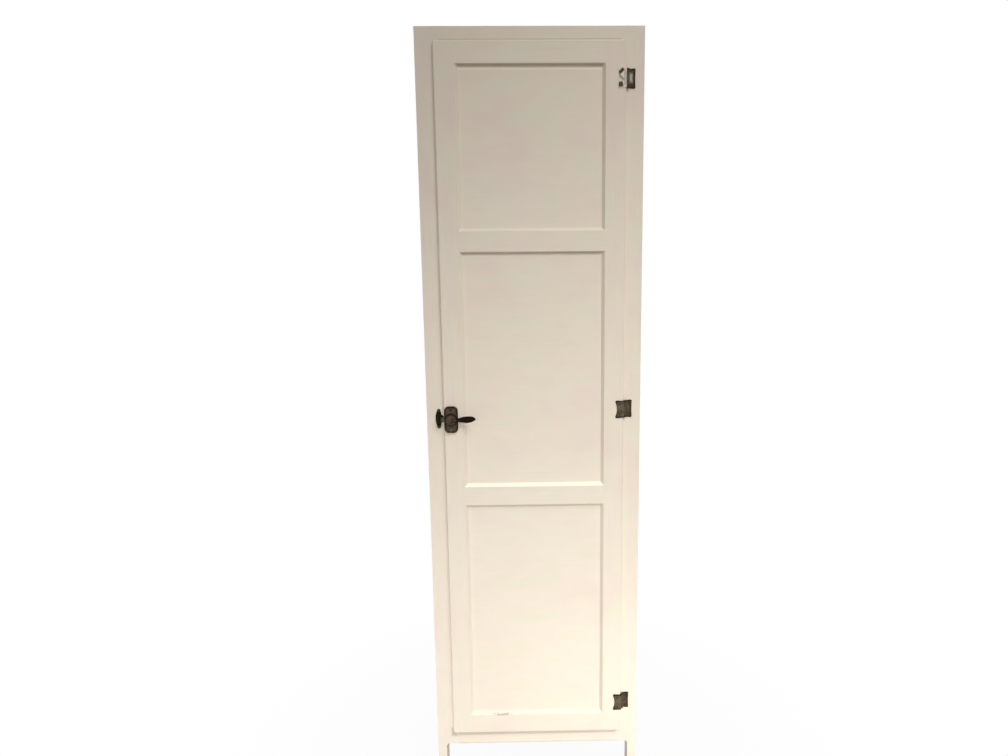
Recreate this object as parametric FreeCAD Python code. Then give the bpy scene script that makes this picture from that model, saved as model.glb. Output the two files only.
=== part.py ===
import FreeCAD, Part
import math
import os

# Utility cabinet: a tall narrow cupboard on four legs, with a framed back and
# sides, fixed shelves, one full-height lipped door on three offset hinges and a
# spring latch worked by a small lever. Millimetres. Z is up and the door faces -Y.
# The origin is under the middle of the whole object, on the floor.

# Outside of the cabinet
cabinet_width = 457.0
cabinet_height = 1676.0
carcass_depth = 305.0
leg_clearance = 116.5
top_strip = 28.5

# Boards and posts of the carcass
top_board_thickness = 15.0
top_board_round = 2.0
bottom_board_thickness = 9.5
post_width = 19.0
post_depth = 45.0
cove_radius = 7.0
frame_thickness = 19.0
panel_thickness = 6.0
groove_depth = 8.0
panel_play = 1.0
side_rail_height = 45.0
side_middle_rail_height = 38.0
back_rail_height = 50.0
back_middle_rail_height = 38.0

# Shelves and the cleats that carry them
shelf_count = 4
shelf_thickness = 15.0
shelf_play = 1.0
shelf_front_gap = 2.0
shelf_round = 1.5
cleat_height = 19.0
cleat_thickness = 12.0
cleat_end_inset = 14.0

# Door
stile_strip = 37.0
bottom_strip = 23.5
door_thickness = 19.0
lip_thickness = 9.5
lip_overlap = 9.5
lip_gap = 0.5
door_play = 1.5
door_corner_radius = 4.0
door_edge_radius = 3.0
stile_face = 41.2
top_rail_face = 43.2
middle_rail_face = 41.0
bottom_rail_face = 44.2
upper_opening_height = 325.5
bevel_width = 6.5
bevel_depth = 7.5
tenon_length = 24.0
tenon_shoulder = 8.0

# Offset hinges
hinge_inset = 71.5
hinge_middle_drop = 743.0
hinge_height = 38.5
hinge_waist = 36.0
hinge_door_leaf = 18.8
hinge_frame_leaf = 15.5
hinge_leaf_thickness = 1.5
hinge_bend_radius = 1.2
hinge_corner_radius = 2.6
hinge_door_scoop = 5.0
hinge_frame_scoop = 0.9
knuckle_radius = 3.3
knuckle_gap = 0.3
hinge_seat_gap = 0.2
pin_radius = 1.4
pin_play = 0.1
pin_head_height = 1.2
pin_head_radius = 2.6

# Latch on the door
latch_reach = 22.0
latch_drop = 761.0
latch_inset = 15.9
case_width = 28.8
case_height = 57.0
case_thickness = 6.0
case_corner_radius = 9.8
case_edge = 1.8
boss_radius = 11.3
boss_reach = 14.0
boss_edge = 2.6
latch_play = 0.3
bolt_half_height = 5.0
bolt_thickness = 4.0
bolt_tip = 26.3
bolt_tail = 3.8
bolt_nose = 3.2
bolt_travel = 4.9
window_left = 4.2
window_right = 1.8
pivot_reach = 8.8
pivot_radius = 1.5
pivot_half_length = 8.0
hub_radius = 3.6
hub_half_height = 4.2
arm_thickness = 3.0
arm_length = 8.1
lever_swing = 40.0
spring_room = 3.5
spring_thickness = 0.5
spring_half_height = 3.0
lever_tip = 53.7
lever_neck_length = 14.0
lever_height = 10.2
lever_half_thickness = 2.0
lever_edge = 0.8
mouth_angle = 8.0
wall_clearance = 0.4

# Strike on the frame
strike_gap = 6.0
strike_width = 12.3
strike_height = 42.4
strike_end_radius = 3.6
strike_thickness = 2.0
strike_bow = 3.4
strike_flare = 9.0
keeper_wall = 2.6
keeper_cap = 2.4
keeper_depth = 7.0

# Screws
hinge_screw_radius = 1.5
hinge_screw_head = 2.9
hinge_screw_length = 13.0
hinge_door_screw_length = 10.0
hinge_screw_dome = 0.7
hinge_screw_spread = 11.5
latch_screw_radius = 1.8
latch_screw_head = 3.4
latch_screw_length = 16.0
latch_screw_spread = 21.5
strike_screw_head = 2.5
latch_screw_dome = 1.1
slot_width = 0.9

# Shared small values
overrun = 1.0

# Places that follow from the sizes
half_width = cabinet_width / 2
door_stand = lip_thickness + lip_gap
total_depth = carcass_depth + door_stand + latch_reach
back_y = total_depth / 2
front_y = back_y - carcass_depth
door_y = front_y - door_stand
door_back_y = door_y + door_thickness
frame_back_y = front_y + frame_thickness
board_bottom = leg_clearance
board_top = leg_clearance + bottom_board_thickness
frame_top = cabinet_height - top_board_thickness
door_top = cabinet_height - top_strip
door_bottom = board_top + bottom_strip
door_height = door_top - door_bottom
half_door = half_width - stile_strip
opening_half = half_door - lip_overlap
opening_top = door_top - lip_overlap
opening_bottom = door_bottom + lip_overlap
inner_half = half_width - post_width
panel_y0 = door_y + bevel_depth
panel_y1 = panel_y0 + panel_thickness
stile_inner = half_door - stile_face - bevel_width
lower_opening_height = (door_height - top_rail_face - bottom_rail_face - upper_opening_height
                        - 2 * middle_rail_face) / 2
hinge_x = half_door + hinge_seat_gap + knuckle_radius
hinge_y = front_y - knuckle_radius - hinge_seat_gap
latch_x = -half_door + latch_inset
latch_z = door_top - latch_drop
spring_pocket_end = bolt_tail + bolt_travel + spring_room
strike_screw_spread = strike_height / 2 - strike_end_radius


def block(x0, x1, y0, y1, z0, z1):
    """A box between two corners."""
    low = FreeCAD.Vector(min(x0, x1), min(y0, y1), min(z0, z1))
    return Part.makeBox(abs(x1 - x0), abs(y1 - y0), abs(z1 - z0), low)


def rod(radius, start, direction, length):
    """A cylinder from a start point along a direction."""
    return Part.makeCylinder(radius, length, FreeCAD.Vector(*start), FreeCAD.Vector(*direction))


def curved_slab(edges, depth):
    """A closed outline of edges, thickened along Y by depth."""
    wire = Part.Wire(Part.__sortEdges__(edges))
    return Part.Face(wire).extrude(FreeCAD.Vector(0, depth, 0))


def line(a, b):
    return Part.LineSegment(FreeCAD.Vector(*a), FreeCAD.Vector(*b)).toShape()


def arc(a, middle, b):
    return Part.Arc(FreeCAD.Vector(*a), FreeCAD.Vector(*middle), FreeCAD.Vector(*b)).toShape()


def wedge_x(points, x0, x1):
    """An outline in Y and Z, stretched from x0 to x1."""
    wire = Part.makePolygon([FreeCAD.Vector(x0, y, z) for y, z in points + points[:1]])
    return Part.Face(wire).extrude(FreeCAD.Vector(x1 - x0, 0, 0))


def wedge_z(points, z0, z1):
    """An outline in X and Y, stretched from z0 to z1."""
    wire = Part.makePolygon([FreeCAD.Vector(x, y, z0) for x, y in points + points[:1]])
    return Part.Face(wire).extrude(FreeCAD.Vector(0, 0, z1 - z0))


def mirrored(shape):
    """The same shape on the other side of the cabinet."""
    return shape.mirror(FreeCAD.Vector(0, 0, 0), FreeCAD.Vector(1, 0, 0))


def edges_near(shape, test):
    """The edges whose ends and middle all pass a test."""
    chosen = []
    for edge in shape.Edges:
        middle = edge.valueAt((edge.FirstParameter + edge.LastParameter) / 2)
        points = [v.Point for v in edge.Vertexes] + [middle]
        if all(test(p) for p in points):
            chosen.append(edge)
    return chosen


def at(value, target):
    """Whether a coordinate lies at a target, within modelling tolerance."""
    return math.isclose(value, target, abs_tol=overrun / 1000)


# Framed sides and back. A frame lies in a plane: "side" runs along Y, "back" along X.

def framed(plane, u0, u1, t0, t1, z0, z1):
    """A box given along the frame, through its thickness and in height."""
    if plane == "side":
        return block(t0, t1, u0, u1, z0, z1)
    return block(u0, u1, t0, t1, z0, z1)


def middle_layer(t0, t1):
    """The layer in the thickness that holds the panel and the tenons."""
    centre = (t0 + t1) / 2
    return centre - panel_thickness / 2, centre + panel_thickness / 2


def frame_rail(plane, u0, u1, t0, t1, z0, z1, grooved_below, grooved_above):
    """A rail with stub tenons in the posts and grooves for the panels."""
    p0, p1 = middle_layer(t0, t1)
    tenon_low = z0 + groove_depth
    tenon_high = z1 - groove_depth
    rail = framed(plane, u0, u1, t0, t1, z0, z1)
    rail = rail.fuse(framed(plane, u0 - groove_depth, u1 + groove_depth, p0, p1, tenon_low, tenon_high))
    if grooved_above:
        rail = rail.cut(framed(plane, u0, u1, p0, p1, z1 - groove_depth, z1))
    if grooved_below:
        rail = rail.cut(framed(plane, u0, u1, p0, p1, z0, z0 + groove_depth))
    return rail.removeSplitter()


def frame_panel(plane, u0, u1, t0, t1, z0, z1):
    """A thin panel that sits loosely in the grooves around it."""
    p0, p1 = middle_layer(t0, t1)
    lap = groove_depth - panel_play
    return framed(plane, u0 - lap, u1 + lap, p0, p1, z0 - lap, z1 + lap)


side_t0 = -half_width
side_t1 = -half_width + post_width
side_u0 = front_y + post_depth
side_u1 = back_y - post_depth
back_t0 = back_y - frame_thickness
back_t1 = back_y
side_low_z = (board_bottom - cove_radius, board_bottom + side_rail_height)
side_high_z = (frame_top - side_rail_height, frame_top)
back_low_z = (board_top, board_top + back_rail_height)
back_high_z = (frame_top - back_rail_height, frame_top)
shelf_pitch = (frame_top - board_top) / (shelf_count + 1)


def shelf_top(index):
    return board_top + shelf_pitch * (index + 1)


def middle_span(height):
    """The height range of a middle rail, which the middle shelf is nailed to."""
    centre = shelf_top(shelf_count // 2 - 1) - shelf_thickness / 2
    return centre - height / 2, centre + height / 2


side_middle_z = middle_span(side_middle_rail_height)
back_middle_z = middle_span(back_middle_rail_height)


def post(front):
    """A left corner post, which runs down to the floor as a leg."""
    y0 = front_y if front else back_y - post_depth
    body = block(-half_width, -inner_half, y0, y0 + post_depth, 0, frame_top)
    p0, p1 = middle_layer(side_t0, side_t1)
    if front:
        groove = block(p0, p1, side_u0 - groove_depth, side_u0, side_low_z[0] + groove_depth, frame_top)
    else:
        groove = block(p0, p1, side_u1, side_u1 + groove_depth, side_low_z[0] + groove_depth, frame_top)
    body = body.cut(groove)
    if not front:
        q0, q1 = middle_layer(back_t0, back_t1)
        body = body.cut(block(-inner_half - groove_depth, -inner_half, q0, q1,
                              back_low_z[0] + groove_depth, frame_top))
    return body


def side_rail_bottom():
    """The lowest side rail, whose lower edge is sawn away between two coves."""
    rail = frame_rail("side", side_u0, side_u1, side_t0, side_t1, *side_low_z, False, True)
    low = side_low_z[0]
    cut = block(side_t0, side_t1, side_u0 + cove_radius, side_u1 - cove_radius, low, board_bottom)
    for centre in (side_u0 + cove_radius, side_u1 - cove_radius):
        cut = cut.fuse(rod(cove_radius, (side_t0, centre, low), (1, 0, 0), post_width))
    return rail.cut(cut).removeSplitter()


def side_frame():
    """Rails and panels of the left side, by node name."""
    span = ("side", side_u0, side_u1, side_t0, side_t1)
    return {
        "side_rail_bottom": side_rail_bottom(),
        "side_rail_middle": frame_rail(*span, *side_middle_z, True, True),
        "side_rail_top": frame_rail(*span, *side_high_z, True, False),
        "side_panel_lower": frame_panel(*span, side_low_z[1], side_middle_z[0]),
        "side_panel_upper": frame_panel(*span, side_middle_z[1], side_high_z[0]),
    }


def back_frame():
    """Rails and panels of the back, by node name."""
    span = ("back", -inner_half, inner_half, back_t0, back_t1)
    return {
        "back_rail_bottom": frame_rail(*span, *back_low_z, False, True),
        "back_rail_middle": frame_rail(*span, *back_middle_z, True, True),
        "back_rail_top": frame_rail(*span, *back_high_z, True, False),
        "back_panel_lower": frame_panel(*span, back_low_z[1], back_middle_z[0]),
        "back_panel_upper": frame_panel(*span, back_middle_z[1], back_high_z[0]),
    }


# Boards and face frame

def top_board():
    board = block(-half_width, half_width, front_y, back_y, frame_top, cabinet_height)
    rim = edges_near(board, lambda p: at(p.z, cabinet_height))
    return board.makeFillet(top_board_round, rim)


def bottom_board():
    """Runs under the face frame to the front, notched round the feet of the stiles."""
    board = block(-inner_half, inner_half, front_y, back_y, board_bottom, board_top)
    notch = block(-inner_half, -opening_half, front_y, frame_back_y, board_bottom, board_top)
    return board.cut(notch).cut(mirrored(notch))


def face_stile():
    """Left stile of the face frame, with a small cove at its foot against the leg."""
    foot = board_bottom - cove_radius
    centre_x = -inner_half + cove_radius
    diagonal = cove_radius * math.sqrt(0.5)
    y = front_y
    edges = [
        line((-inner_half, y, foot), (-inner_half, y, frame_top)),
        line((-inner_half, y, frame_top), (-opening_half, y, frame_top)),
        line((-opening_half, y, frame_top), (-opening_half, y, board_bottom)),
        line((-opening_half, y, board_bottom), (centre_x, y, board_bottom)),
        arc((centre_x, y, board_bottom), (centre_x - diagonal, y, foot + diagonal), (-inner_half, y, foot)),
    ]
    return curved_slab(edges, frame_thickness)


def face_rail(z0, z1):
    return block(-opening_half, opening_half, front_y, frame_back_y, z0, z1)


# Shelves and cleats

shelf_y0 = frame_back_y + shelf_front_gap
shelf_y1 = back_t0 - shelf_play


def shelf(index):
    half = inner_half - shelf_play
    top = shelf_top(index)
    board = block(-half, half, shelf_y0, shelf_y1, top - shelf_thickness, top)
    front = edges_near(board, lambda p: at(p.y, shelf_y0) and abs(p.x) <= half)
    long_edges = [e for e in front if e.BoundBox.XLength > half]
    return board.makeFillet(shelf_round, long_edges)


def cleats():
    """The left cleats, one under each shelf, with their lower front corner sawn off."""
    strips = []
    y0 = shelf_y0 + cleat_end_inset
    for index in range(shelf_count):
        z1 = shelf_top(index) - shelf_thickness
        z0 = z1 - cleat_height
        outline = [(y0, z1), (shelf_y1, z1), (shelf_y1, z0),
                   (y0 + cleat_height / 2, z0), (y0, z0 + cleat_height / 2)]
        strips.append(wedge_x(outline, -inner_half, -inner_half + cleat_thickness))
    return Part.makeCompound(strips)


# Door

def door_blank():
    """The whole door as one board: a lip with rounded edges over a smaller inner part."""
    lip_back = door_y + lip_thickness
    lip = block(-half_door, half_door, door_y, lip_back, door_bottom, door_top)
    corners = [e for e in lip.Edges if at(e.BoundBox.YLength, lip_thickness)]
    lip = lip.makeFillet(door_corner_radius, corners)
    front_rim = edges_near(lip, lambda p: at(p.y, door_y))
    lip = lip.makeFillet(door_edge_radius, front_rim)
    inner_x = opening_half - door_play
    inner = block(-inner_x, inner_x, lip_back, door_back_y,
                  opening_bottom + door_play, opening_top - door_play)
    return lip.fuse(inner).removeSplitter()


# Height ranges of the rails' flat faces, from the top down
rail_spans = {}
upper_edge = door_top
for rail_name, face, opening in (
        ("top", top_rail_face, upper_opening_height),
        ("upper", middle_rail_face, lower_opening_height),
        ("lower", middle_rail_face, lower_opening_height),
        ("bottom", bottom_rail_face, 0)):
    rail_spans[rail_name] = (upper_edge - face, upper_edge)
    upper_edge = upper_edge - face - opening


def stile_blank(blank):
    """Left stile with its bevelled inner edge and the groove for the panels."""
    face_x = -half_door + stile_face
    edge_x = face_x + bevel_width
    stile = blank.common(block(-half_door, edge_x, door_y, door_back_y, door_bottom, door_top))
    bevel = wedge_z([(face_x, door_y), (edge_x, panel_y0), (edge_x, door_y)], door_bottom, door_top)
    groove_low = rail_spans["bottom"][1] - groove_depth
    groove_high = rail_spans["top"][0] + groove_depth
    groove = block(edge_x - groove_depth, edge_x, panel_y0, panel_y1, groove_low, groove_high)
    return stile.cut(bevel).cut(groove)


def bevel_above(z):
    """Cutter for the bevel that rises towards the viewer from an opening's lower rail."""
    return wedge_x([(door_y, z), (panel_y0, z + bevel_width), (door_y, z + bevel_width)],
                   -half_door, half_door)


def bevel_below(z):
    return wedge_x([(door_y, z), (panel_y0, z - bevel_width), (door_y, z - bevel_width)],
                   -half_door, half_door)


def door_rail(blank, name, stiles):
    """A rail coped over the stiles' bevels, with a tenon at each end."""
    low, high = rail_spans[name]
    top_open = name != "top"
    bottom_open = name != "bottom"
    z1 = high + bevel_width if top_open else high
    z0 = low - bevel_width if bottom_open else low
    face_x = half_door - stile_face
    rail = blank.common(block(-face_x, face_x, door_y, door_back_y, z0, z1))
    tenon_z0 = z0 + (groove_depth if bottom_open else lip_overlap + door_play + tenon_shoulder)
    tenon_z1 = z1 - (groove_depth if top_open else lip_overlap + door_play + tenon_shoulder)
    if top_open:
        rail = rail.cut(bevel_above(high))
        rail = rail.cut(block(-half_door, half_door, panel_y0, panel_y1, z1 - groove_depth, z1))
    if bottom_open:
        rail = rail.cut(bevel_below(low))
        rail = rail.cut(block(-half_door, half_door, panel_y0, panel_y1, z0, z0 + groove_depth))
    for stile in stiles:
        rail = rail.cut(stile)
    tenon_x = stile_inner + tenon_length
    tenon = block(-tenon_x, tenon_x, panel_y0, panel_y1, tenon_z0, tenon_z1)
    return largest(rail.cut(side_scraps())).fuse(tenon).removeSplitter()


def side_scraps():
    """The space of the stiles behind their bevels, which the rails stay out of."""
    left = block(-half_door, -stile_inner, panel_y0, door_back_y, door_bottom, door_top)
    return left.fuse(mirrored(left))


def largest(shape):
    return max(shape.Solids, key=lambda solid: solid.Volume)


def door_panel(upper_rail, lower_rail):
    """A flat panel held in the grooves of the stiles and rails."""
    lap = groove_depth - panel_play
    z1 = rail_spans[upper_rail][0] - bevel_width + lap
    z0 = rail_spans[lower_rail][1] + bevel_width - lap
    x = stile_inner + lap
    return block(-x, x, panel_y0, panel_y1, z0, z1)


def door_parts():
    """Stiles, rails and panels by node name."""
    blank = door_blank()
    left = stile_blank(blank)
    right = mirrored(left)
    parts = {}
    rails = {name: door_rail(blank, name, (left, right)) for name in rail_spans}
    for name, rail in rails.items():
        parts["door_rail_" + name] = rail
        left = left.cut(rail)
        right = right.cut(rail)
    parts["door_stile_left"] = largest(left)
    parts["door_stile_right"] = largest(right)
    parts["door_panel_upper"] = door_panel("top", "upper")
    parts["door_panel_middle"] = door_panel("upper", "lower")
    parts["door_panel_lower"] = door_panel("lower", "bottom")
    return parts


# Hinges

def wing(x_waist, x_end, scoop, z):
    """Butterfly outline: narrow at the knuckles, full at the scooped outer end."""
    waist = hinge_waist / 2
    full = hinge_height / 2
    inward = -scoop if x_end > x_waist else scoop
    y = front_y + overrun
    edges = [
        line((x_waist, y, z + waist), (x_waist, y, z - waist)),
        line((x_waist, y, z - waist), (x_end, y, z - full)),
        arc((x_end, y, z - full), (x_end + inward, y, z), (x_end, y, z + full)),
        line((x_end, y, z + full), (x_waist, y, z + waist)),
    ]
    depth = door_stand + hinge_leaf_thickness + 2 * overrun
    slab = curved_slab(edges, -depth)
    corners = [e for e in slab.Edges if at(e.BoundBox.YLength, depth) and at(e.BoundBox.XMin, x_end)]
    return slab.makeFillet(hinge_corner_radius, corners)


def knuckle(z0, z1, bore):
    body = rod(knuckle_radius, (hinge_x, hinge_y, z0), (0, 0, 1), z1 - z0)
    return body.cut(rod(bore, (hinge_x, hinge_y, z0), (0, 0, 1), z1 - z0))


def knuckle_levels(z):
    """Heights where the knuckles part, from the bottom to the top."""
    third = hinge_waist / 3
    low = z - hinge_waist / 2
    return low, low + third, low + 2 * third, low + hinge_waist


def hinge_door_leaf_at(z):
    """Lies on the door's face, bends round the lip and ends in the middle knuckle."""
    low, k1, k2, high = knuckle_levels(z)
    riser_x = hinge_x - knuckle_radius
    end_x = half_door - hinge_door_leaf
    span = hinge_height / 2
    face = block(end_x, riser_x + hinge_leaf_thickness, door_y - hinge_leaf_thickness, door_y,
                 z - span, z + span)
    riser = block(riser_x, riser_x + hinge_leaf_thickness, door_y - hinge_leaf_thickness, hinge_y,
                  z - span, z + span)
    leaf = face.fuse(riser).removeSplitter()
    bend = [e for e in leaf.Edges
            if at(e.BoundBox.ZLength, hinge_height)
            and at(e.BoundBox.XMin, riser_x + hinge_leaf_thickness)
            and at(e.BoundBox.YMin, door_y - hinge_leaf_thickness)]
    leaf = leaf.makeFillet(hinge_bend_radius, bend)
    leaf = leaf.common(wing(hinge_x + knuckle_radius, end_x, hinge_door_scoop, z))
    swept = knuckle_radius + knuckle_gap
    for z0, z1 in ((z - span, k1 + knuckle_gap / 2), (k2 - knuckle_gap / 2, z + span)):
        leaf = leaf.cut(block(riser_x - overrun, hinge_x, hinge_y - swept, hinge_y + overrun, z0, z1))
    bore = pin_radius + pin_play
    leaf = leaf.fuse(knuckle(k1 + knuckle_gap / 2, k2 - knuckle_gap / 2, knuckle_radius / 2))
    leaf = leaf.cut(rod(bore, (hinge_x, hinge_y, low), (0, 0, 1), hinge_waist))
    return largest(leaf.removeSplitter())


def hinge_frame_leaf_at(z):
    """Lies on the face frame and ends in the upper and lower knuckles."""
    low, k1, k2, high = knuckle_levels(z)
    span = hinge_height / 2
    end_x = hinge_x + hinge_frame_leaf
    leaf = block(hinge_x, end_x, front_y - hinge_leaf_thickness, front_y, z - span, z + span)
    leaf = leaf.common(wing(hinge_x, end_x, hinge_frame_scoop, z))
    for z0, z1 in ((low, k1 - knuckle_gap / 2), (k2 + knuckle_gap / 2, high)):
        web = block(hinge_x, hinge_x + knuckle_radius, hinge_y, front_y, z0, z1)
        leaf = leaf.fuse(knuckle(z0, z1, pin_radius)).fuse(web)
    swing_room = knuckle_radius + knuckle_gap
    leaf = leaf.cut(block(hinge_x - swing_room, hinge_x + swing_room, hinge_y - swing_room, front_y,
                          k1 - knuckle_gap / 2, k2 + knuckle_gap / 2))
    leaf = leaf.cut(rod(pin_radius, (hinge_x, hinge_y, low), (0, 0, 1), hinge_waist))
    return leaf.removeSplitter()


def hinge_pin_at(z):
    """A pin with a flattened head at each end."""
    low = z - hinge_waist / 2
    pin = rod(pin_radius, (hinge_x, hinge_y, low), (0, 0, 1), hinge_waist)
    for start, way in ((low, -1), (low + hinge_waist, 1)):
        head = Part.makeCone(pin_head_radius, pin_radius, pin_head_height,
                             FreeCAD.Vector(hinge_x, hinge_y, start), FreeCAD.Vector(0, 0, way))
        pin = pin.fuse(head)
    return pin.removeSplitter()


# Screws. Each points into the wood along +Y, with a domed slotted head.

# A kind of screw is its shank radius, head radius, length under the head and dome height.
hinge_door_screw = (hinge_screw_radius, hinge_screw_head, hinge_door_screw_length, hinge_screw_dome)
hinge_frame_screw = (hinge_screw_radius, hinge_screw_head, hinge_screw_length, hinge_screw_dome)
strike_screw = (hinge_screw_radius, strike_screw_head, hinge_screw_length, hinge_screw_dome)
latch_screw = (latch_screw_radius, latch_screw_head, latch_screw_length, latch_screw_dome)


def screw(place, kind):
    x, y, z = place
    shank, head, length, dome_height = kind
    body = rod(shank, place, (0, 1, 0), length)
    ball_radius = (head * head + dome_height * dome_height) / (2 * dome_height)
    ball = Part.makeSphere(ball_radius, FreeCAD.Vector(x, y + ball_radius - dome_height, z))
    dome = ball.common(block(x - head, x + head, y - dome_height, y, z - head, z + head))
    slot = block(x - head, x + head, y - dome_height, y - dome_height / 2,
                 z - slot_width / 2, z + slot_width / 2)
    return body.fuse(dome.cut(slot)).removeSplitter()


hinge_levels = {
    "top": door_top - hinge_inset,
    "middle": door_top - hinge_middle_drop,
    "bottom": door_bottom + hinge_inset,
}
door_screw_x = half_door - hinge_door_leaf / 2 + hinge_door_scoop / 4
frame_screw_x = hinge_x + (knuckle_radius + hinge_frame_leaf) / 2
door_screw_y = door_y - hinge_leaf_thickness
frame_screw_y = front_y - hinge_leaf_thickness


def hinge_screw_places(x, y):
    places = []
    for z in hinge_levels.values():
        for side in (-1, 1):
            places.append((x, y, z + side * hinge_screw_spread))
    return places


hinge_door_places = hinge_screw_places(door_screw_x, door_screw_y)
hinge_frame_places = hinge_screw_places(frame_screw_x, frame_screw_y)
latch_places = [(latch_x, door_y - case_thickness, latch_z + side * latch_screw_spread) for side in (-1, 1)]
strike_end_x = -half_door - strike_gap - strike_width + strike_bow + strike_end_radius
strike_places = [(strike_end_x, front_y - strike_thickness, latch_z + side * strike_screw_spread)
                 for side in (-1, 1)]


# Latch. Distances from the latch centre: across, out from the door's face, and up.

def latch_block(u0, u1, w0, w1, v0, v1):
    return block(latch_x + u0, latch_x + u1, door_y - w0, door_y - w1, latch_z + v0, latch_z + v1)


def latch_point(u, w, v):
    return FreeCAD.Vector(latch_x + u, door_y - w, latch_z + v)


def latch_case():
    """A cast case with rounded ends and a round boss over the lever's pivot."""
    half = case_width / 2
    case = latch_block(-half, half, 0, case_thickness, -case_height / 2, case_height / 2)
    corners = [e for e in case.Edges if at(e.BoundBox.YLength, case_thickness)]
    case = case.makeFillet(case_corner_radius, corners)
    front = edges_near(case, lambda p: at(p.y, door_y - case_thickness))
    case = case.makeChamfer(case_edge, front)
    boss = rod(boss_radius, latch_point(0, 0, 0), (0, -1, 0), boss_reach)
    rim = edges_near(boss, lambda p: at(p.y, door_y - boss_reach))
    case = case.fuse(boss.makeChamfer(boss_edge, rim))
    slot = bolt_half_height + latch_play
    roof = bolt_thickness + 2 * latch_play
    case = case.cut(latch_block(-half - overrun, spring_pocket_end, 0, roof, -slot, slot))
    room = hub_half_height + latch_play
    hub_room = hub_radius + wall_clearance
    case = case.cut(rod(hub_room, latch_point(0, pivot_reach, -room), (0, 0, 1), 2 * room))
    arm_room = arm_length * math.sin(math.radians(lever_swing)) + arm_thickness
    case = case.cut(latch_block(-hub_room, arm_room, 0, pivot_reach, -room, room))
    case = case.cut(lever_mouth(room))
    return case.cut(latch_pivot_pin()).removeSplitter()


def lever_mouth(room):
    """The fan-shaped slot in which the lever swings out of the boss."""
    reach = boss_radius + boss_reach
    gap = lever_half_thickness + wall_clearance
    low = math.radians(-mouth_angle)
    high = math.radians(lever_swing + mouth_angle / 2)
    low_w = pivot_reach - gap
    high_w = pivot_reach + reach * math.sin(high)
    points = [
        (0, low_w),
        (reach, low_w + reach * math.tan(low) / 4),
        (reach, high_w),
        (reach * math.cos(high) - gap * math.sin(high), high_w + gap * math.cos(high)),
        (-gap * math.sin(high), pivot_reach + gap * math.cos(high)),
    ]
    outline = [(latch_x + u, door_y - w) for u, w in points]
    return wedge_z(outline, latch_z - room, latch_z + room)


def latch_pivot_pin():
    foot = latch_point(0, pivot_reach, -pivot_half_length)
    return rod(pivot_radius, foot, (0, 0, 1), 2 * pivot_half_length)


def latch_bolt():
    """A sliding tongue with a window for the lever's arm and a bevelled nose."""
    bolt = latch_block(-bolt_tip, bolt_tail, latch_play, latch_play + bolt_thickness,
                       -bolt_half_height, bolt_half_height)
    bolt = bolt.cut(latch_block(-window_left, window_right, 0, boss_reach,
                                -hub_half_height - latch_play, hub_half_height + latch_play))
    tip_u = -bolt_tip
    back_w = latch_play
    nose = wedge_z([(latch_x + tip_u, door_y - back_w),
                    (latch_x + tip_u + bolt_nose, door_y - back_w),
                    (latch_x + tip_u, door_y - back_w - bolt_thickness * 3 / 4)],
                   latch_z - bolt_half_height, latch_z + bolt_half_height)
    return bolt.cut(nose)


# The lever's paddle from the front: shares of its length, and of its height above the pivot
paddle_shares = ((0.0, 0.34), (0.27, 0.35), (0.49, 0.72), (0.735, 0.93), (0.933, 0.81), (1.0, 0.48),
                 (0.922, 0.03), (0.782, -0.33), (0.61, -0.49), (0.42, -0.42), (0.27, -0.32), (0.0, -0.33))
# Its bend from above: share of the bent length, and of the reach gained, at the middle
bend_shares = (0.52, 0.36)
tip_thickness_share = 0.4


def lever_side(way, end_reach):
    """One side of the bent handle seen from above: way is 1 for the outer side, -1 for the inner."""
    length = lever_tip - lever_neck_length
    near = pivot_reach + way * lever_half_thickness
    far = end_reach + (way - 1) * lever_half_thickness * tip_thickness_share
    points = [latch_point(0, near, -lever_height),
              latch_point(lever_neck_length, near, -lever_height),
              latch_point(lever_neck_length + length * bend_shares[0],
                          near + (far - near) * bend_shares[1], -lever_height),
              latch_point(lever_tip + overrun, far, -lever_height)]
    side = Part.BSplineCurve()
    side.interpolate(points)
    return side.toShape(), points[0], points[-1]


def bent_handle(end_reach):
    """A paddle outline cut from a bent bar, with its long edges eased."""
    inner, inner_start, inner_end = lever_side(-1, end_reach)
    outer, outer_start, outer_end = lever_side(1, end_reach)
    edges = [inner, outer, line(inner_end, outer_end), line(outer_start, inner_start)]
    wire = Part.Wire(Part.__sortEdges__(edges))
    bar = Part.Face(wire).extrude(FreeCAD.Vector(0, 0, 2 * lever_height))
    edge = Part.BSplineCurve()
    points = [latch_point(lever_tip * a, 0, lever_height * b) for a, b in paddle_shares]
    edge.interpolate(points)
    paddle = Part.Face(Part.Wire([edge.toShape(), line(points[-1], points[0])]))
    handle = bar.common(paddle.extrude(FreeCAD.Vector(0, -2 * latch_reach, 0)))
    long_edges = [e for e in handle.Edges if e.BoundBox.XLength > lever_neck_length]
    return handle.makeChamfer(lever_edge, long_edges)


def lever_handle():
    """The handle whose bend is set so that its outermost point lies at the latch's full reach."""
    first = bent_handle(latch_reach)
    short = first.optimalBoundingBox(False).YMin - door_y + latch_reach
    return bent_handle(latch_reach + short)


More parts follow.
